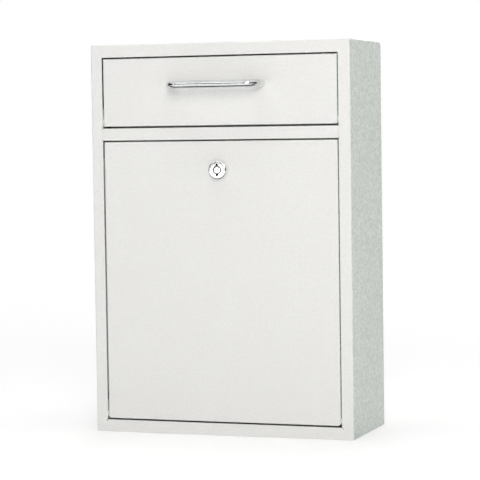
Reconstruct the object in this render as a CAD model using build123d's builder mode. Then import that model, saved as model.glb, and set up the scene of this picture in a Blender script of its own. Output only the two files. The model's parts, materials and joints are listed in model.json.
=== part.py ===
"""Wall-mounted parcel drop box in folded sheet steel.

Millimetres. +Z is up, +Y points back to the wall, and the origin is at the
centre of the body's bottom face.
"""
import os
from math import cos, radians, sin, sqrt

from build123d import *

os.makedirs("parts", exist_ok=True)

# Body
WIDTH = 284.0
HEIGHT = 409.0
DEPTH = 119.5
SHEET = 1.2  # sheet steel, all folded pieces
FRONT = -DEPTH / 2
BACK = DEPTH / 2
SIDE_BEND = 1.8  # outer radius of the two vertical front edges
RAIL_BEND = 1.6  # outer radius where the top and bottom turn into the rails
REAR_TOP_BEND = 5.0
REAR_LOW_BEND = 2.4
SOFT_EDGE = 0.8  # dressed edge of the welded side panels
STILE = 12.5  # width of the front flange at each side
TOP_RAIL = 13.2
BOTTOM_RAIL = 12.9
MID_RAIL = 12.9
MID_RAIL_TOP = HEIGHT - 87.5
RAIL_SEAM = 0.15  # hairline where the mid rail meets a stile
RELIEF_REACH = 2.2  # diagonal slits at the openings' corners
RELIEF = 0.7
INNER_HALF = WIDTH / 2 - SHEET
OPENING_HALF = WIDTH / 2 - STILE

# Doors
SIDE_GAP = 1.3
FLANGE = 14.0  # depth of the doors' folded edges
FOLD = 1.6  # outer radius of the doors' folds
HOPPER_CORNER_CUT = 1.2  # relief cut where two folds meet at a door's low corners
ACCESS_CORNER_CUT = 2.4
DOOR_HALF = OPENING_HALF - SIDE_GAP
HOPPER_LOW = MID_RAIL_TOP + 1.9
HOPPER_HIGH = HEIGHT - TOP_RAIL - 1.5
ACCESS_LOW = BOTTOM_RAIL + 1.5
ACCESS_HIGH = MID_RAIL_TOP - MID_RAIL - 1.45

# Pivots
PIVOT_DEPTH = 4.2  # pivot axis behind the front face
PIVOT_RISE = 5.0  # pivot axis above the door's low edge
PIN_R = 2.0
PIN_PLAY = 0.06
PIN_HEAD_R = 2.8
PIN_HEAD = 1.5
EAR = 1.5  # hinge ear plate
EAR_BELOW = 5.6
EAR_ABOVE = 14.0
EAR_LEG = 9.0  # height of the ear's leg behind the stile
PIVOT_Y = FRONT + PIVOT_DEPTH
HOPPER_PIVOT_Z = HOPPER_LOW + PIVOT_RISE
ACCESS_PIVOT_Z = ACCESS_LOW + PIVOT_RISE
SPACER_R = 3.4
SPACER_PLAY = 0.2

# Hopper tray
TRAY_TILT = 60.0  # the tray's slope, and the hopper's travel
TRAY_FLAT = 16.0  # how far back the level part of the tray reaches
TRAY_SLOPE = 85.0
TRAY_BEND = 3.0
TRAY_START = 2.0  # clear of the door's inner folds
CHEEK_R = 62.0
CHEEK_LOW_ANGLE = -5.0
LUG_REACH = 7.5
LUG_INNER_R = 46.0
LUG_OUTER_R = 58.0

# Handle
HANDLE_Z = HEIGHT - 43.5
HANDLE_HALF = 47.6
HANDLE_R = 4.0
HANDLE_OUT = 27.0  # from the door to the bar's front
HANDLE_BEND = 12.0
SCREW_R = 2.0
SCREW_HEAD_R = 4.0
SCREW_HEAD = 2.6
SCREW_DEPTH = 10.0
SCREW_PLAY = 0.15  # a washer's clearance on its screw
SCREW_HOLE_PLAY = 0.25  # and a door's
RECESS_LENGTH = 4.6  # cross recess in a screw's head
RECESS_WIDTH = 1.0
RECESS_DEPTH = 1.2
WASHER = 0.8
WASHER_LAP = 0.8  # how far a washer shows around a screw's head
EDGE_BREAK = 0.4

# Lock
LOCK_Z = HEIGHT - 131.9
BEZEL_OUT = 6.0
BEZEL_BASE_R = 11.0
BEZEL_FACE_R = 9.6
BEZEL_RIM = 0.8
BEZEL_ROUND = 2.5
BARREL_R = 9.4
BARREL_FLATS = 16.4
BARREL_REAR = 14.6
LIP = 1.4
KEYWAY_R = 4.5
KEYWAY_NOTCH = 3.0  # width of the two notches that guide the key
KEYWAY_NOTCH_RISE = 3.0
KEYWAY_NOTCH_SIDE = 78.0  # slope of their sides, in degrees
KEYWAY_NOTCH_FEET = (3.4, -6.0)  # heights of their wide ends
PLUG_R = 6.2
PLUG_PLAY = 0.05
POST_R = 3.7
GROOVE = 6.0
KEY_PINS = 7
KEY_PIN_R = 0.3
KEY_PIN_OUT = 0.4
KEY_PIN_HOLE = 4.0
NUT_FLATS = 24.0
NUT = 3.0
CAM = 2.0
CAM_WIDTH = 16.0
CAM_REACH = 38.5
CAM_FRONT = FRONT + FLANGE + 1.2
CAM_SQUARE = 8.0
CAM_SQUARE_PLAY = 0.1
HOLE_PLAY = 0.1  # the barrel's clearance in the door
LOCK_WASHER_LAP = 3.2  # how far the washer stands out from the barrel
LOCK_WASHER_PLAY = 0.2

# Stops
DOOR_STOP_LOW = 40.0
DOOR_STOP_HIGH = 290.0
STOP_PLAY = 0.1
STOP_LAP = 5.4  # how far a stop reaches behind the door's edge
STOP_FOOT = 14.0
BUMPER = 2.0
BUMPER_WIDTH = 20.0
BUMPER_LOW = HOPPER_HIGH - 3.8
BUMPER_HEIGHT = 9.0
BUMPER_X = 100.0

# Wall holes
WALL_HOLE_R = 3.5
WALL_HOLE_SPACING = 200.0
WALL_HOLE_Z = 160.0

front_plane = Plane.XZ.offset(-FRONT)
lock_plane = Plane(origin=(0, FRONT, LOCK_Z), x_dir=(1, 0, 0), z_dir=(0, -1, 0))
lock_axis = Axis((0, 0, LOCK_Z), (0, 1, 0))
hopper_pivot = (PIVOT_Y, HOPPER_PIVOT_Z)
access_pivot = (PIVOT_Y, ACCESS_PIVOT_Z)
handle_feet = [(x, HANDLE_Z) for x in (-HANDLE_HALF, HANDLE_HALF)]


def folded_pan(low, high, corner_cut):
    """Door pan, open at the back, flush with the front, its low corners cut off."""
    middle = (low + high) / 2
    with Locations((0, FRONT + FLANGE / 2, middle)):
        Box(2 * DOOR_HALF, FLANGE, high - low)
    skin = faces().sort_by(Axis.Y)[0]
    fillet(skin.edges(), FOLD)
    rear = faces().sort_by(Axis.Y)[-1]
    offset(amount=-SHEET, openings=rear)
    low_corners = [(x, FRONT + FLANGE / 2, low) for x in (-DOOR_HALF, DOOR_HALF)]
    with Locations(*[Location(corner, (0, 45, 0)) for corner in low_corners]):
        Box(sqrt(2) * corner_cut, 2 * FLANGE, sqrt(2) * corner_cut, mode=Mode.SUBTRACT)


def keyway_notches():
    """The two notches of the keyway, in a sketch on the lock's plane."""
    for foot in KEYWAY_NOTCH_FEET:
        with Locations((0, foot)):
            Trapezoid(KEYWAY_NOTCH, KEYWAY_NOTCH_RISE, KEYWAY_NOTCH_SIDE, align=(Align.CENTER, Align.MIN))


def pivot_hole(pivot, radius):
    """Hole along X for a pivot pin, through everything at its height."""
    with Locations(Location((0, *pivot), (0, 90, 0))):
        Cylinder(radius, WIDTH, mode=Mode.SUBTRACT)


def hinge_ear(pivot):
    """Right-hand ear: a lug with the pin's hole, and above it a leg behind the stile."""
    with BuildSketch(Plane.YZ.offset(OPENING_HALF)) as lug:
        with Locations((FRONT + SHEET, pivot[1] - EAR_BELOW)):
            Rectangle(FLANGE - SHEET, EAR_BELOW + EAR_ABOVE, align=(Align.MIN, Align.MIN))
        fillet(lug.vertices().group_by(Axis.Y)[-1], EAR_BELOW - 1)
    extrude(lug.sketch, amount=EAR)
    leg_outer = WIDTH / 2 - SIDE_BEND
    with Locations((OPENING_HALF, FRONT + SHEET, pivot[1] + EAR_ABOVE - EAR_LEG)):
        Box(leg_outer - OPENING_HALF, EAR, EAR_LEG, align=(Align.MIN, Align.MIN, Align.MIN))
    pivot_hole(pivot, PIN_R)


def pivot_pin(pivot):
    """Right-hand pin: a shank through ear and door, with a head outside the ear."""
    outer = OPENING_HALF + EAR
    inner = DOOR_HALF - 2 * SHEET + 0.1
    with Locations(Location(((inner + outer) / 2, *pivot), (0, 90, 0))):
        Cylinder(PIN_R, outer - inner)
    with Locations(Location((outer + PIN_HEAD / 2, *pivot), (0, 90, 0))):
        Cylinder(PIN_HEAD_R, PIN_HEAD)
    fillet(edges().filter_by(GeomType.CIRCLE).sort_by(Axis.X)[-1], PIN_HEAD / 3)


def pivot_spacer(pivot):
    """Right-hand washer that fills the gap between the ear and the door's edge."""
    thickness = SIDE_GAP - SPACER_PLAY
    with Locations(Location((OPENING_HALF - thickness / 2, *pivot), (0, 90, 0))):
        Cylinder(SPACER_R, thickness)
        Cylinder(PIN_R + PIN_PLAY, thickness, mode=Mode.SUBTRACT)


# ---------------------------------------------------------------- body
with BuildPart() as left_side:
    with BuildSketch(Plane.XY):
        with BuildLine():
            side_line = FilletPolyline(
                (-OPENING_HALF, FRONT),
                (-WIDTH / 2, FRONT),
                (-WIDTH / 2, BACK),
                radius=SIDE_BEND,
            )
            offset(side_line, amount=SHEET, side=Side.RIGHT)
        make_face()
    extrude(amount=HEIGHT)
    rear_corners = edges().filter_by(Axis.X).group_by(Axis.Y)[-1].sort_by(Axis.Z)
    fillet(rear_corners[-1], REAR_TOP_BEND)
    fillet(rear_corners[0], REAR_LOW_BEND)
    outline = faces().filter_by(Axis.X).sort_by(Axis.X)[0].edges().sort_by(Axis.Y)
    fillet(outline[1:], SOFT_EDGE)
    opening_corners = (
        (MID_RAIL_TOP, -45),
        (MID_RAIL_TOP - MID_RAIL, 45),
        (BOTTOM_RAIL, -45),
    )
    for z, turn in opening_corners:
        with Locations(Location((-OPENING_HALF, FRONT, z), (0, turn, 0))):
            Box(2 * RELIEF_REACH, 2 * SIDE_BEND, RELIEF, mode=Mode.SUBTRACT)

with BuildPart() as right_side:
    mirror(left_side.part, about=Plane.YZ)

with BuildPart() as body_shell:
    with BuildSketch(Plane.YZ):
        with BuildLine():
            skin_line = FilletPolyline(
                (FRONT, HEIGHT - TOP_RAIL),
                (FRONT, HEIGHT),
                (BACK, HEIGHT),
                (BACK, 0),
                (FRONT, 0),
                (FRONT, BOTTOM_RAIL),
                radius=(RAIL_BEND, REAR_TOP_BEND, REAR_LOW_BEND, RAIL_BEND),
            )
            offset(skin_line, amount=SHEET, side=Side.RIGHT)
        make_face()
    extrude(amount=INNER_HALF, both=True)
    with Locations(*[(x, FRONT, HEIGHT / 2) for x in (-INNER_HALF, INNER_HALF)]):
        Box(2 * (INNER_HALF - OPENING_HALF), 2 * SHEET, HEIGHT, mode=Mode.SUBTRACT)
    add([left_side.part, right_side.part], mode=Mode.SUBTRACT)
    with Locations(Plane.XZ.offset(-BACK)):
        with Locations((0, WALL_HOLE_Z)):
            with GridLocations(WALL_HOLE_SPACING, WALL_HOLE_SPACING, 2, 2):
                Hole(WALL_HOLE_R, depth=2 * SHEET)

with BuildPart() as mid_rail:
    with BuildSketch(Plane.YZ):
        with BuildLine():
            rail_line = FilletPolyline(
                (FRONT + FLANGE, MID_RAIL_TOP - MID_RAIL),
                (FRONT, MID_RAIL_TOP - MID_RAIL),
                (FRONT, MID_RAIL_TOP),
                (FRONT + FLANGE / 2, MID_RAIL_TOP),
                radius=RAIL_BEND,
            )
            offset(rail_line, amount=SHEET, side=Side.RIGHT)
        make_face()
    extrude(amount=INNER_HALF, both=True)
    with Locations(*[(x, FRONT, MID_RAIL_TOP) for x in (-INNER_HALF, INNER_HALF)]):
        Box(2 * (STILE - SHEET + RAIL_SEAM), 2 * SHEET, 3 * MID_RAIL, mode=Mode.SUBTRACT)
    add([left_side.part, right_side.part], mode=Mode.SUBTRACT)

# ---------------------------------------------------------------- hinges
with BuildPart() as hopper_hinge_ears:
    hinge_ear(hopper_pivot)
    mirror(about=Plane.YZ)

with BuildPart() as hopper_pivot_pins:
    pivot_pin(hopper_pivot)
    mirror(about=Plane.YZ)

with BuildPart() as hopper_spacers:
    pivot_spacer(hopper_pivot)
    mirror(about=Plane.YZ)

with BuildPart() as access_hinge_ears:
    hinge_ear(access_pivot)
    mirror(about=Plane.YZ)

with BuildPart() as access_pivot_pins:
    pivot_pin(access_pivot)
    mirror(about=Plane.YZ)

with BuildPart() as access_spacers:
    pivot_spacer(access_pivot)
    mirror(about=Plane.YZ)

# ---------------------------------------------------------------- stops
stop_face = FRONT + FLANGE + STOP_PLAY

with BuildPart() as access_door_stops:
    with BuildSketch(Plane.XY.offset(DOOR_STOP_LOW)):
        with BuildLine():
            Polyline(
                (DOOR_HALF - STOP_LAP, stop_face),
                (INNER_HALF, stop_face),
                (INNER_HALF, stop_face + STOP_FOOT),
                (INNER_HALF - SHEET, stop_face + STOP_FOOT),
                (INNER_HALF - SHEET, stop_face + SHEET),
                (DOOR_HALF - STOP_LAP, stop_face + SHEET),
                close=True,
            )
        make_face()
    extrude(amount=DOOR_STOP_HIGH - DOOR_STOP_LOW)
    mirror(about=Plane.YZ)

with BuildPart() as hopper_stop_brackets:
    with BuildSketch(Plane.YZ.offset(BUMPER_X - BUMPER_WIDTH / 2)):
        with BuildLine():
            Polyline(
                (stop_face + BUMPER, BUMPER_LOW),
                (stop_face + BUMPER, HEIGHT - SHEET),
                (stop_face + BUMPER + STOP_FOOT, HEIGHT - SHEET),
                (stop_face + BUMPER + STOP_FOOT, HEIGHT - 2 * SHEET),
                (stop_face + BUMPER + SHEET, HEIGHT - 2 * SHEET),
                (stop_face + BUMPER + SHEET, BUMPER_LOW),
                close=True,
            )
        make_face()
    extrude(amount=BUMPER_WIDTH)
    mirror(about=Plane.YZ)

with BuildPart() as hopper_bumpers:
    with Locations((BUMPER_X, stop_face + BUMPER / 2, BUMPER_LOW + BUMPER_HEIGHT / 2)):
        Box(BUMPER_WIDTH - 4, BUMPER, BUMPER_HEIGHT)
    fillet(faces().sort_by(Axis.Y)[0].edges(), BUMPER / 4)
    mirror(about=Plane.YZ)

# ---------------------------------------------------------------- hopper
with BuildPart() as hopper_door:
    folded_pan(HOPPER_LOW, HOPPER_HIGH, HOPPER_CORNER_CUT)
    pivot_hole(hopper_pivot, PIN_R + PIN_PLAY)
    with Locations(front_plane):
        with Locations(*handle_feet):
            Hole(SCREW_R + SCREW_HOLE_PLAY, depth=2 * SHEET)

tray_z = HOPPER_LOW + SHEET  # the tray lies on the door's lower fold
tray_end = (
    FRONT + TRAY_FLAT + TRAY_SLOPE * cos(radians(TRAY_TILT)),
    tray_z - TRAY_SLOPE * sin(radians(TRAY_TILT)),
)
cheek_inner = DOOR_HALF - 2 * SHEET
cheek_front = FRONT + TRAY_START
cheek_top = HOPPER_PIVOT_Z + sqrt(CHEEK_R**2 - (PIVOT_Y - cheek_front) ** 2)

with BuildPart() as hopper_tray:
    with BuildSketch(Plane.YZ):
        with BuildLine():
            floor_line = FilletPolyline(
                (cheek_front, tray_z),
                (FRONT + TRAY_FLAT, tray_z),
                tray_end,
                radius=TRAY_BEND,
            )
            offset(floor_line, amount=SHEET, side=Side.LEFT)
        make_face()
    extrude(amount=cheek_inner, both=True)

# Open, the tray has turned by its tilt, and its stop lugs come up against the stiles.
open_plane = Plane(
    origin=(DOOR_HALF - SHEET, *hopper_pivot),
    x_dir=(0, cos(radians(TRAY_TILT)), -sin(radians(TRAY_TILT))),
    z_dir=(1, 0, 0),
)

with BuildPart() as right_cheek:
    with BuildSketch(Plane.YZ.offset(cheek_inner)):
        with BuildLine():
            edge = Polyline(
                (cheek_front, cheek_top),
                (cheek_front, tray_z),
                (FRONT + TRAY_FLAT, tray_z),
                tray_end,
                (
                    PIVOT_Y + CHEEK_R * cos(radians(CHEEK_LOW_ANGLE)),
                    HOPPER_PIVOT_Z + CHEEK_R * sin(radians(CHEEK_LOW_ANGLE)),
                ),
            )
            RadiusArc(edge @ 1, edge @ 0, -CHEEK_R)
        make_face()
    extrude(amount=SHEET)
    pivot_hole(hopper_pivot, PIN_R + PIN_PLAY)
    with BuildSketch(open_plane):
        with Locations((SHEET - PIVOT_DEPTH + STOP_PLAY, (LUG_INNER_R + LUG_OUTER_R) / 2)):
            Rectangle(SHEET, LUG_OUTER_R - LUG_INNER_R, align=(Align.MIN, Align.CENTER))
    extrude(amount=LUG_REACH)

with BuildPart() as left_cheek:
    mirror(right_cheek.part, about=Plane.YZ)

with BuildPart() as hopper_handle:
    with BuildLine(Plane.XY.offset(HANDLE_Z)) as bar_line:
        FilletPolyline(
            (-HANDLE_HALF, FRONT),
            (-HANDLE_HALF, FRONT - HANDLE_OUT + HANDLE_R),
            (HANDLE_HALF, FRONT - HANDLE_OUT + HANDLE_R),
            (HANDLE_HALF, FRONT),
            radius=HANDLE_BEND,
        )
    with BuildSketch(Plane(origin=(-HANDLE_HALF, FRONT, HANDLE_Z), z_dir=(0, -1, 0))):
        Circle(HANDLE_R)
    sweep(path=bar_line.wires()[0])
    with Locations(front_plane):
        with Locations(*handle_feet):
            Cylinder(SCREW_R, 2 * SCREW_DEPTH, mode=Mode.SUBTRACT)

with BuildPart() as handle_washers:
    with BuildSketch(front_plane.offset(-SHEET)):
        with Locations(*handle_feet):
            Circle(SCREW_HEAD_R + WASHER_LAP)
            Circle(SCREW_R + SCREW_PLAY, mode=Mode.SUBTRACT)
    extrude(amount=-WASHER)

with BuildPart() as handle_screws:
    with BuildSketch(front_plane.offset(-SHEET - WASHER)):
        with Locations(*handle_feet):
            Circle(SCREW_R)
    extrude(amount=SHEET + WASHER + SCREW_DEPTH - 1)
    with BuildSketch(front_plane.offset(-SHEET - WASHER)):
        with Locations(*handle_feet):
            Circle(SCREW_HEAD_R)
    extrude(amount=-SCREW_HEAD)
    fillet(edges().filter_by(GeomType.CIRCLE).group_by(Axis.Y)[-1], SCREW_HEAD / 3)
    with Locations(front_plane.offset(-SHEET - WASHER - SCREW_HEAD)):
        with Locations(*handle_feet):
            Box(RECESS_LENGTH, RECESS_WIDTH, 2 * RECESS_DEPTH, mode=Mode.SUBTRACT)
            Box(RECESS_WIDTH, RECESS_LENGTH, 2 * RECESS_DEPTH, mode=Mode.SUBTRACT)

# ---------------------------------------------------------------- access door
with BuildPart() as access_door:
    folded_pan(ACCESS_LOW, ACCESS_HIGH, ACCESS_CORNER_CUT)
    pivot_hole(access_pivot, PIN_R + PIN_PLAY)
    with BuildSketch(lock_plane):
        Circle(BARREL_R + HOLE_PLAY)
        Rectangle(BARREL_FLATS + 2 * HOLE_PLAY, 3 * BARREL_R, mode=Mode.INTERSECT)
    extrude(amount=-2 * SHEET, mode=Mode.SUBTRACT)

# ---------------------------------------------------------------- lock
with BuildPart() as lock_barrel:
    with BuildSketch(lock_plane):
        Circle(BARREL_R)
        Rectangle(BARREL_FLATS, 3 * BARREL_R, mode=Mode.INTERSECT)
    extrude(amount=-BARREL_REAR)
    with BuildSketch(Plane.YZ):
        with BuildLine():
            Polyline(
                (FRONT, LOCK_Z),
                (FRONT, LOCK_Z + BEZEL_BASE_R),
                (FRONT - BEZEL_RIM, LOCK_Z + BEZEL_BASE_R),
                (FRONT - BEZEL_OUT, LOCK_Z + BEZEL_FACE_R),
                (FRONT - BEZEL_OUT, LOCK_Z),
                close=True,
            )
        make_face()
    revolve(axis=lock_axis)
    fillet(edges().filter_by(GeomType.CIRCLE).sort_by(Axis.Y)[0], BEZEL_ROUND)
    with BuildSketch(lock_plane.offset(BEZEL_OUT - LIP)):
        Circle(PLUG_R + PLUG_PLAY)
    extrude(amount=-(BEZEL_OUT - LIP + BARREL_REAR), mode=Mode.SUBTRACT)
    with BuildSketch(lock_plane.offset(BEZEL_OUT)):
        Circle(KEYWAY_R)
        keyway_notches()
    extrude(amount=-LIP, mode=Mode.SUBTRACT)

with BuildPart() as lock_washer:
    with BuildSketch(lock_plane.offset(-SHEET)):
        Circle(BARREL_R + LOCK_WASHER_LAP)
        Circle(BARREL_R + LOCK_WASHER_PLAY, mode=Mode.SUBTRACT)
    extrude(amount=-WASHER)

with BuildPart() as lock_nut:
    with BuildSketch(lock_plane.offset(-SHEET - WASHER)):
        RegularPolygon(NUT_FLATS / 2, 6, major_radius=False)
        Circle(BARREL_R, mode=Mode.SUBTRACT)
    extrude(amount=-NUT)
    chamfer(edges().filter_by(GeomType.LINE).group_by(Axis.Y)[-1], EDGE_BREAK)

plug_front = BEZEL_OUT - LIP - 0.1
cam_depth = CAM_FRONT - FRONT

with BuildPart() as lock_plug:
    with BuildSketch(lock_plane.offset(plug_front)):
        Circle(PLUG_R)
    extrude(amount=-(plug_front + cam_depth))
    with BuildSketch(lock_plane.offset(plug_front)):
        Circle(KEYWAY_R - 0.05)
        keyway_notches()
        Circle(POST_R, mode=Mode.SUBTRACT)
    extrude(amount=-GROOVE, mode=Mode.SUBTRACT)
    with BuildSketch(lock_plane.offset(plug_front)):
        Circle(POST_R)
    extrude(amount=LIP)
    chamfer(edges().filter_by(GeomType.CIRCLE).sort_by(Axis.Y)[0], EDGE_BREAK)
    with BuildSketch(lock_plane.offset(plug_front - GROOVE)):
        with PolarLocations((POST_R + KEYWAY_R) / 2, KEY_PINS, start_angle=90):
            Circle(KEY_PIN_R)
    extrude(amount=-KEY_PIN_HOLE, mode=Mode.SUBTRACT)
    with BuildSketch(lock_plane.offset(-cam_depth)):
        Rectangle(CAM_SQUARE, CAM_SQUARE)
    extrude(amount=-CAM)
    with BuildSketch(lock_plane.offset(-cam_depth - CAM)):
        Circle(SCREW_R)
    extrude(amount=SCREW_DEPTH + CAM, mode=Mode.SUBTRACT)

with BuildPart() as key_pins:
    with BuildSketch(lock_plane.offset(plug_front - GROOVE + KEY_PIN_OUT)):
        with PolarLocations((POST_R + KEYWAY_R) / 2, KEY_PINS, start_angle=90):
            Circle(KEY_PIN_R)
    extrude(amount=-KEY_PIN_OUT - KEY_PIN_HOLE + 0.2)

with BuildPart() as lock_cam:
    with BuildSketch(lock_plane.offset(-cam_depth)):
        with Locations((-(CAM_REACH - CAM_WIDTH / 2) / 2, 0)):
            SlotCenterToCenter(CAM_REACH - CAM_WIDTH / 2, CAM_WIDTH)
        Rectangle(CAM_SQUARE + CAM_SQUARE_PLAY, CAM_SQUARE + CAM_SQUARE_PLAY, mode=Mode.SUBTRACT)
    extrude(amount=-CAM)

with BuildPart() as cam_washer:
    with BuildSketch(lock_plane.offset(-cam_depth - CAM)):
        Circle(PLUG_R)
        Circle(SCREW_R + SCREW_PLAY, mode=Mode.SUBTRACT)
    extrude(amount=-WASHER)

with BuildPart() as cam_screw:
    with BuildSketch(lock_plane.offset(-cam_depth - CAM - WASHER)):
        RegularPolygon(SCREW_HEAD_R, 6, major_radius=False)
    extrude(amount=-SCREW_HEAD)
    chamfer(edges().group_by(Axis.Y)[-1], EDGE_BREAK)
    with BuildSketch(lock_plane.offset(-cam_depth - CAM - WASHER)):
        Circle(SCREW_R)
    extrude(amount=WASHER + CAM + SCREW_DEPTH - 1)

# ---------------------------------------------------------------- write
pieces = {
    "body_shell": body_shell,
    "left_side": left_side,
    "right_side": right_side,
    "mid_rail": mid_rail,
    "hopper_hinge_ears": hopper_hinge_ears,
    "hopper_pivot_pins": hopper_pivot_pins,
    "hopper_spacers": hopper_spacers,
    "access_hinge_ears": access_hinge_ears,
    "access_pivot_pins": access_pivot_pins,
    "access_spacers": access_spacers,
    "access_door_stops": access_door_stops,
    "hopper_stop_brackets": hopper_stop_brackets,
    "hopper_bumpers": hopper_bumpers,
    "hopper_door": hopper_door,
    "hopper_tray": hopper_tray,
    "left_cheek": left_cheek,
    "right_cheek": right_cheek,
    "hopper_handle": hopper_handle,
    "handle_washers": handle_washers,
    "handle_screws": handle_screws,
    "access_door": access_door,
    "lock_barrel": lock_barrel,
    "lock_washer": lock_washer,
    "lock_nut": lock_nut,
    "lock_plug": lock_plug,
    "key_pins": key_pins,
    "lock_cam": lock_cam,
    "cam_washer": cam_washer,
    "cam_screw": cam_screw,
}
for name, piece in pieces.items():
    piece.part.label = name
    export_step(piece.part, f"parts/{name}.step")
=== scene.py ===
import json
import math

import bpy
from mathutils import Matrix, Vector


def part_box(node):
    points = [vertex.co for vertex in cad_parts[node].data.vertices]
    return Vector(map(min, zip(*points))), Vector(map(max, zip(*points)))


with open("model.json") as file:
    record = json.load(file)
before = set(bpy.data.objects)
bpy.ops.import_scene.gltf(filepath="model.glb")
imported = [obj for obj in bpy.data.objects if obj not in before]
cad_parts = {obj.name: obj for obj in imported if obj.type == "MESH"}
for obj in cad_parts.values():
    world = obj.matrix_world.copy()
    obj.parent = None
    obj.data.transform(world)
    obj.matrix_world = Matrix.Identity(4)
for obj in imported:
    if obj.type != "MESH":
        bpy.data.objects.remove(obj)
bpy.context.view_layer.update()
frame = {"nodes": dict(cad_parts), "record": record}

MM = 0.001
UPRIGHT = math.radians(90)

# Backdrop's strength in reflections, and behind the object for all other light
REFLECTED = 0.9
BEHIND = 0.12
WARM = (1.0, 0.985, 0.965)

# Floor: a disc that fades from pale and matt near the object to plain white far out
FLOOR_RADIUS = 12.0
FADE_FROM = 0.5
FADE_TO = 1.9
NEAR_GLOW = 0.25

# Lock's keyway: its ring's outer radius, and the farthest reach of its notches
KEYWAY_R = 4.5 * MM
NOTCH_R = 6.6 * MM

# Camera, as seen from the front and a little to the right
AZIMUTH = math.radians(19.2)
ELEVATION = math.radians(3.22)
ROLL = math.radians(-0.82)
DISTANCE = 2.169
LENS = 152.8
AIM = Vector((1.2, 0.2, -3.5)) * MM  # from the body's middle


# ---------------------------------------------------------------- nodes
def node(tree, kind, inputs=None, **settings):
    """A new node; inputs gives sockets by name or number, as values or as sockets to link."""
    made = tree.nodes.new(kind)
    for name, value in settings.items():
        setattr(made, name, value)
    for name, value in (inputs or {}).items():
        if isinstance(value, bpy.types.NodeSocket):
            tree.links.new(value, made.inputs[name])
        else:
            made.inputs[name].default_value = value
    return made


def maths(tree, operation, a, b=0.0):
    return node(tree, "ShaderNodeMath", {0: a, 1: b}, operation=operation).outputs[0]


def spread(tree, value, low, high, to_low, to_high):
    """value from low..high mapped to to_low..to_high, clamped."""
    inputs = {"Value": value, "From Min": low, "From Max": high, "To Min": to_low, "To Max": to_high}
    return node(tree, "ShaderNodeMapRange", inputs).outputs[0]


def blended(tree, amount, first, second):
    """Colour between first and second."""
    made = node(tree, "ShaderNodeMix", {0: amount}, data_type="RGBA")
    for number, colour in ((6, first), (7, second)):
        if isinstance(colour, bpy.types.NodeSocket):
            tree.links.new(colour, made.inputs[number])
        else:
            made.inputs[number].default_value = (*colour, 1.0)
    return made.outputs[2]


def noise(tree, place, size, detail=2.0, roughness=0.5):
    """Noise whose features are about size metres across."""
    inputs = {"Vector": place, "Scale": 1.0 / size, "Detail": detail, "Roughness": roughness}
    return node(tree, "ShaderNodeTexNoise", inputs).outputs[0]


def material(name):
    """An empty material, with its tree, its shader and the place on the piece."""
    made = bpy.data.materials.new(name)
    made.use_nodes = True
    tree = made.node_tree
    tree.nodes.clear()
    shader = node(tree, "ShaderNodeBsdfPrincipled")
    node(tree, "ShaderNodeOutputMaterial", {"Surface": shader.outputs[0]})
    place = node(tree, "ShaderNodeTexCoord").outputs["Object"]
    return made, tree, shader, place


def feed(tree, shader, **sockets):
    """Links or sets the shader's sockets, named with _ for a space."""
    for name, value in sockets.items():
        socket = shader.inputs[name.replace("_", " ")]
        if isinstance(value, bpy.types.NodeSocket):
            tree.links.new(value, socket)
        else:
            socket.default_value = value


def bump(tree, height, depth, under=None):
    """Normal of a height of 0..1 that stands depth metres proud."""
    inputs = {"Height": height, "Distance": depth, "Strength": 1.0}
    if under:
        inputs["Normal"] = under
    return node(tree, "ShaderNodeBump", inputs).outputs[0]


def edge_mask(tree, radius):
    """0 on flat faces, rising to 1 on outside and inside edges sharper than radius."""
    rounded = node(tree, "ShaderNodeBevel", {"Radius": radius}, samples=4).outputs[0]
    flat = node(tree, "ShaderNodeNewGeometry").outputs["Normal"]
    dot = node(tree, "ShaderNodeVectorMath", {0: rounded, 1: flat}, operation="DOT_PRODUCT").outputs["Value"]
    return spread(tree, dot, 0.995, 0.75, 0.0, 1.0)


# ---------------------------------------------------------------- materials
def powder_coat():
    """Textured white powder coat: fine on the faces and coarser on the sides, where the colour is painted
    shade: darker, greener and blotchy.
    """
    made, tree, shader, place = material("powder_coat")
    # Mask of the faces that point sideways. It carries the painted side shade and the coarser bump.
    facing = node(tree, "ShaderNodeTexCoord").outputs["Normal"]
    across = node(tree, "ShaderNodeSeparateXYZ", {0: facing}).outputs["X"]
    sideways = spread(tree, maths(tree, "ABSOLUTE", across), 0.6, 0.95, 0.0, 1.0)
    pebble = noise(tree, place, 1.7 * MM, detail=1.5, roughness=0.55)
    peel = noise(tree, place, 7 * MM, detail=1.0)
    mottle = noise(tree, place, 2.4 * MM, detail=3.0, roughness=0.65)
    cloud = noise(tree, place, 60 * MM, detail=2.0)
    drawn = node(tree, "ShaderNodeMapping", {"Vector": place, "Scale": (1.0, 0.6, 1.0)}).outputs[0]
    coarse = noise(tree, drawn, 2.6 * MM, detail=2.0, roughness=0.6)
    edges = edge_mask(tree, 0.6 * MM)
    speckle = spread(tree, mottle, 0.35, 0.65, 0.0, 1.0)
    tone = blended(tree, speckle, (0.825, 0.828, 0.813), (0.885, 0.882, 0.87))
    tone = blended(tree, spread(tree, cloud, 0.3, 0.7, 0.0, 0.35), tone, (0.85, 0.845, 0.825))
    # Painted shade: sideways faces get a darker, greener, blotchy colour. It stands in for the dimmer green
    # light on the sides and the shading of their texture.
    painted_side_shade = blended(tree, spread(tree, coarse, 0.3, 0.7, 0.0, 1.0), (0.635, 0.685, 0.64), (0.89, 0.945, 0.89))
    tone = blended(tree, sideways, tone, painted_side_shade)
    # Edges a little darker: thinner coat on outside edges, and painted shade in inside corners and creases.
    tone = blended(tree, maths(tree, "MULTIPLY", edges, 0.25), tone, (0.80, 0.80, 0.79))
    rough = spread(tree, mottle, 0.3, 0.7, 0.42, 0.56)
    normal = bump(tree, peel, 0.10 * MM)
    normal = bump(tree, pebble, 0.22 * MM, under=normal)
    normal = bump(tree, maths(tree, "MULTIPLY", coarse, sideways), 0.5 * MM, under=normal)
    feed(tree, shader, Base_Color=tone, Roughness=rough, IOR=1.5, Normal=normal)
    return made


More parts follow.
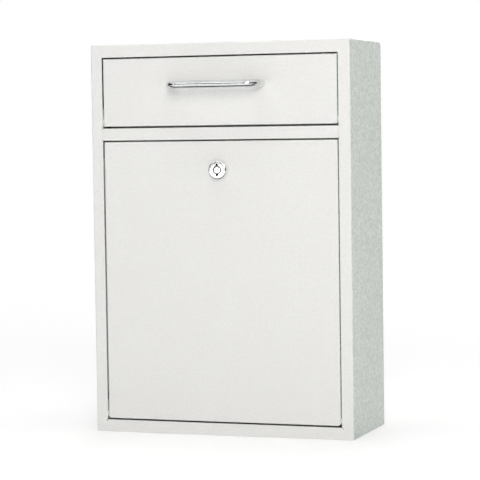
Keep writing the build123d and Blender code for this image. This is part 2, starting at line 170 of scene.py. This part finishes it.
def plated(name, light, dark, rough_low, rough_high):
    """Bright plate with faint polishing lines, haze and smudges."""
    made, tree, shader, place = material(name)
    lines = node(tree, "ShaderNodeMapping", {"Vector": place, "Scale": (0.08, 1.0, 1.0)}).outputs[0]
    polish = noise(tree, lines, 0.25 * MM, detail=2.0)
    smudge = noise(tree, place, 9 * MM, detail=3.0, roughness=0.6)
    tone = blended(tree, spread(tree, smudge, 0.35, 0.7, 0.0, 1.0), light, dark)
    rough = spread(tree, smudge, 0.35, 0.7, rough_low, rough_high)
    feed(tree, shader, Base_Color=tone, Metallic=1.0, Roughness=rough)
    return made, tree, shader, place, bump(tree, polish, 0.004 * MM)


def chrome():
    """Chrome on drawn bar, which is never quite straight."""
    made, tree, shader, place, normal = plated(
        "chrome", (0.75, 0.76, 0.76), (0.66, 0.67, 0.67), 0.06, 0.12
    )
    waves = noise(tree, place, 28 * MM, detail=1.0)
    feed(tree, shader, Normal=bump(tree, waves, 0.8 * MM, under=normal))
    return made


def lock_chrome():
    """Chrome on the lock, with painted shade in the keyway: its sunk parts painted black in patches, where
    the recess is in shade.
    """
    made, tree, shader, place, normal = plated(
        "lock_chrome", (0.92, 0.92, 0.915), (0.84, 0.845, 0.84), 0.07, 0.13
    )
    from_axis = node(tree, "ShaderNodeVectorMath", {0: place, 1: lock_face}, operation="SUBTRACT").outputs[0]
    depth = node(tree, "ShaderNodeSeparateXYZ", {0: from_axis}).outputs["Y"]
    flat = node(tree, "ShaderNodeVectorMath", {0: from_axis, 1: (1, 0, 1)}, operation="MULTIPLY").outputs[0]
    radius = node(tree, "ShaderNodeVectorMath", {0: flat}, operation="LENGTH").outputs["Value"]
    # Painted shade: the keyway's sunk parts behind the face are painted black and not metallic, broken into
    # patches. This stands in for the recess's shade.
    inside = spread(tree, radius, NOTCH_R, NOTCH_R + 0.2 * MM, 1.0, 0.0)
    sunk = spread(tree, depth, 0.25 * MM, 0.6 * MM, 0.0, 1.0)
    patchy_shade = spread(tree, noise(tree, place, 2.2 * MM, detail=1.0), 0.52, 0.6, 1.0, 0.25)
    notch = spread(tree, radius, KEYWAY_R - 0.2 * MM, KEYWAY_R + 0.1 * MM, 0.0, 1.0)
    shade_cover = maths(tree, "MAXIMUM", patchy_shade, notch)
    painted_keyway_shade = maths(tree, "MULTIPLY", maths(tree, "MULTIPLY", inside, sunk), shade_cover)
    tone = shader.inputs["Base Color"].links[0].from_socket
    feed(tree, shader, Base_Color=blended(tree, painted_keyway_shade, tone, (0.012, 0.012, 0.013)))
    outside_keyway_shade = spread(tree, painted_keyway_shade, 0.0, 1.0, 1.0, 0.0)
    feed(tree, shader, Metallic=outside_keyway_shade, Specular_IOR_Level=0.1, Normal=normal)
    return made


def zinc():
    """Bright zinc plate, spangled, with a slight blue to yellow drift."""
    made, tree, shader, place = material("zinc")
    spangle = node(tree, "ShaderNodeTexVoronoi", {"Vector": place, "Scale": 1 / (1.2 * MM)}).outputs["Color"]
    grey = node(tree, "ShaderNodeRGBToBW", {0: spangle}).outputs[0]
    drift = noise(tree, place, 6 * MM, detail=1.0)
    tone = blended(tree, spread(tree, drift, 0.35, 0.65, 0.0, 1.0), (0.60, 0.63, 0.67), (0.66, 0.65, 0.60))
    tone = blended(tree, maths(tree, "MULTIPLY", grey, 0.3), tone, (0.50, 0.52, 0.54))
    rough = spread(tree, grey, 0.0, 1.0, 0.24, 0.42)
    pits = noise(tree, place, 0.4 * MM, detail=2.0)
    feed(tree, shader, Base_Color=tone, Metallic=1.0, Roughness=rough, Normal=bump(tree, pits, 0.01 * MM))
    return made


def brass():
    """Turned brass, dark with oil and tarnish."""
    made, tree, shader, place = material("brass")
    tarnish = noise(tree, place, 1.0 * MM, detail=3.0)
    tone = blended(tree, spread(tree, tarnish, 0.3, 0.6, 0.0, 1.0), (0.36, 0.26, 0.12), (0.10, 0.075, 0.04))
    rough = spread(tree, tarnish, 0.35, 0.7, 0.22, 0.45)
    feed(tree, shader, Base_Color=tone, Metallic=1.0, Roughness=rough, Normal=bump(tree, tarnish, 0.01 * MM))
    return made


def nylon():
    """Moulded natural nylon, slightly translucent."""
    made, tree, shader, place = material("nylon")
    cloud = noise(tree, place, 2 * MM, detail=2.0)
    tone = blended(tree, cloud, (0.80, 0.79, 0.74), (0.88, 0.87, 0.83))
    feed(tree, shader, Base_Color=tone, Roughness=0.38, Subsurface_Weight=0.2)
    feed(tree, shader, Subsurface_Radius=(1 * MM, 1 * MM, 0.8 * MM), Normal=bump(tree, cloud, 0.02 * MM))
    return made


def rubber():
    """Moulded black rubber with a dusty bloom."""
    made, tree, shader, place = material("rubber")
    bloom = noise(tree, place, 1.5 * MM, detail=4.0, roughness=0.6)
    dust = spread(tree, bloom, 0.4, 0.75, 0.0, 1.0)
    tone = blended(tree, dust, (0.022, 0.022, 0.023), (0.075, 0.073, 0.07))
    rough = spread(tree, bloom, 0.3, 0.7, 0.55, 0.8)
    feed(tree, shader, Base_Color=tone, Roughness=rough, Normal=bump(tree, bloom, 0.05 * MM))
    return made


FINISHES = powder_coat, chrome, lock_chrome, zinc, brass, nylon, rubber
OWN_FINISH = {"lock_barrel": "lock_chrome", "lock_plug": "lock_chrome"}

barrel_low, barrel_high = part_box("lock_barrel")
lock_face = Vector((0.0, barrel_low.y, (barrel_low.z + barrel_high.z) / 2))
finishes = {make.__name__: make() for make in FINISHES}
for subpart in frame["record"]["subparts"]:
    name = subpart["node"]
    piece = frame["nodes"][name]
    piece.data.materials.clear()
    piece.data.materials.append(finishes[OWN_FINISH.get(name, subpart["material_slot"])])

# ---------------------------------------------------------------- stage
scene = bpy.context.scene
body_low, body_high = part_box("body_shell")
middle = (body_low + body_high) / 2


def floor():
    """Pale, faintly glowing floor that turns into the white backdrop far out."""
    bpy.ops.mesh.primitive_circle_add(vertices=96, radius=FLOOR_RADIUS, fill_type="NGON")
    made = bpy.context.object
    made.name = "floor"
    surface = bpy.data.materials.new("floor")
    surface.use_nodes = True
    tree = surface.node_tree
    tree.nodes.clear()
    place = node(tree, "ShaderNodeTexCoord").outputs["Object"]
    out = node(tree, "ShaderNodeVectorMath", {0: place}, operation="LENGTH").outputs["Value"]
    speck = spread(tree, noise(tree, place, 3 * MM), 0.3, 0.7, 0.0, 1.0)
    far = spread(tree, out, FADE_FROM, FADE_TO, 0.0, 1.0)
    tone = blended(tree, speck, (0.79, 0.79, 0.79), (0.81, 0.81, 0.81))
    tone = blended(tree, far, tone, (0.0, 0.0, 0.0))
    matt = node(tree, "ShaderNodeBsdfDiffuse", {"Color": tone}).outputs[0]
    strength = spread(tree, far, 0.0, 1.0, NEAR_GLOW, 1.0)
    glow = node(tree, "ShaderNodeEmission", {"Strength": strength}).outputs[0]
    surface_out = node(tree, "ShaderNodeAddShader", {0: matt, 1: glow}).outputs[0]
    node(tree, "ShaderNodeOutputMaterial", {"Surface": surface_out})
    made.data.materials.append(surface)


def backdrop():
    """White in view and in reflections, a faint glow from behind on everything else."""
    world = bpy.data.worlds.new("studio")
    scene.world = world
    world.use_nodes = True
    tree = world.node_tree
    tree.nodes.clear()
    way = node(tree, "ShaderNodeTexCoord").outputs["Generated"]
    along = node(tree, "ShaderNodeSeparateXYZ", {0: way}).outputs["Y"]
    faint = spread(tree, along, -1.0, 1.0, 0.0, BEHIND)
    ray = node(tree, "ShaderNodeLightPath").outputs
    strength = maths(tree, "MAXIMUM", faint, maths(tree, "MULTIPLY", ray["Is Glossy Ray"], REFLECTED))
    strength = maths(tree, "MAXIMUM", strength, ray["Is Camera Ray"])
    surface = node(tree, "ShaderNodeBackground", {"Color": (1, 1, 1, 1), "Strength": strength}).outputs[0]
    node(tree, "ShaderNodeOutputWorld", {"Surface": surface})


def flag(name, place, size, turn, tone):
    """Dark card that only shows in reflections, to draw lines in the bright metal."""
    bpy.ops.mesh.primitive_plane_add(size=1.0, location=place, rotation=turn)
    made = bpy.context.object
    made.name = name
    made.scale = (*size, 1.0)
    surface = bpy.data.materials.new(name)
    surface.use_nodes = True
    tree = surface.node_tree
    tree.nodes.clear()
    shade = node(tree, "ShaderNodeEmission", {"Color": (tone, tone, tone, 1.0)}).outputs[0]
    node(tree, "ShaderNodeOutputMaterial", {"Surface": shade})
    made.data.materials.append(surface)
    made.visible_camera = False
    made.visible_diffuse = False
    made.visible_shadow = False
    made.visible_transmission = False


def softbox(name, place, size, power, colour=(1, 1, 1), reflected=True):
    """Rectangular area light that faces the object's middle."""
    light = bpy.data.lights.new(name, "AREA")
    light.shape = "RECTANGLE"
    light.size, light.size_y = size
    light.energy = power
    light.color = colour
    made = bpy.data.objects.new(name, light)
    made.location = place
    made.rotation_euler = (Vector(place) - middle).to_track_quat("Z", "Y").to_euler()
    made.visible_camera = False
    made.visible_glossy = reflected
    scene.collection.objects.link(made)


def camera():
    """Long lens aimed at the box's middle from a little above, turned slightly on its axis."""
    ahead = Vector((
        -math.sin(AZIMUTH) * math.cos(ELEVATION),
        math.cos(AZIMUTH) * math.cos(ELEVATION),
        -math.sin(ELEVATION),
    ))
    right = Vector((math.cos(AZIMUTH), math.sin(AZIMUTH), 0.0))
    up = right.cross(ahead)
    right, up = (
        math.cos(ROLL) * right + math.sin(ROLL) * up,
        math.cos(ROLL) * up - math.sin(ROLL) * right,
    )
    aim = middle + AIM
    lens = bpy.data.cameras.new("camera")
    lens.lens = LENS
    lens.sensor_width = 36.0
    made = bpy.data.objects.new("camera", lens)
    turn = Matrix((right, up, -ahead)).transposed().to_4x4()
    made.matrix_world = Matrix.Translation(aim - ahead * DISTANCE) @ turn
    scene.collection.objects.link(made)
    scene.camera = made


floor()
backdrop()
softbox("top_light", (0.0, -0.2, 4.5), (4.0, 4.0), 152, reflected=False)
softbox("key_light", (-0.9, -2.6, 2.2), (0.8, 0.5), 1.6)
softbox("side_light", (0.7, -1.7, 1.2), (0.5, 0.5), 7, WARM)
softbox("low_light", (0.62, -1.9, 0.78), (0.5, 0.4), 9, WARM)
softbox("back_light", (-0.4, 3.0, 1.6), (1.8, 1.8), 34)
softbox("strip_light", (-0.95, -2.72, 0.1), (1.2, 0.2), 2)
flag("horizon_flag", (-0.95, -2.75, 0.79), (2.0, 1.15), (UPRIGHT, 0.0, math.radians(-19)), 0.03)
flag("floor_flag", (0.0, -0.17, 0.002), (2.0, 0.28), (0.0, 0.0, 0.0), 0.05)
flag("right_flag", (1.6, -0.9, 0.6), (3.0, 1.2), (UPRIGHT, 0.0, UPRIGHT), 0.05)
flag("left_flag", (-1.5, -0.3, 0.6), (1.8, 1.2), (UPRIGHT, 0.0, UPRIGHT), 0.05)
camera()
scene.view_settings.view_transform = "Standard"
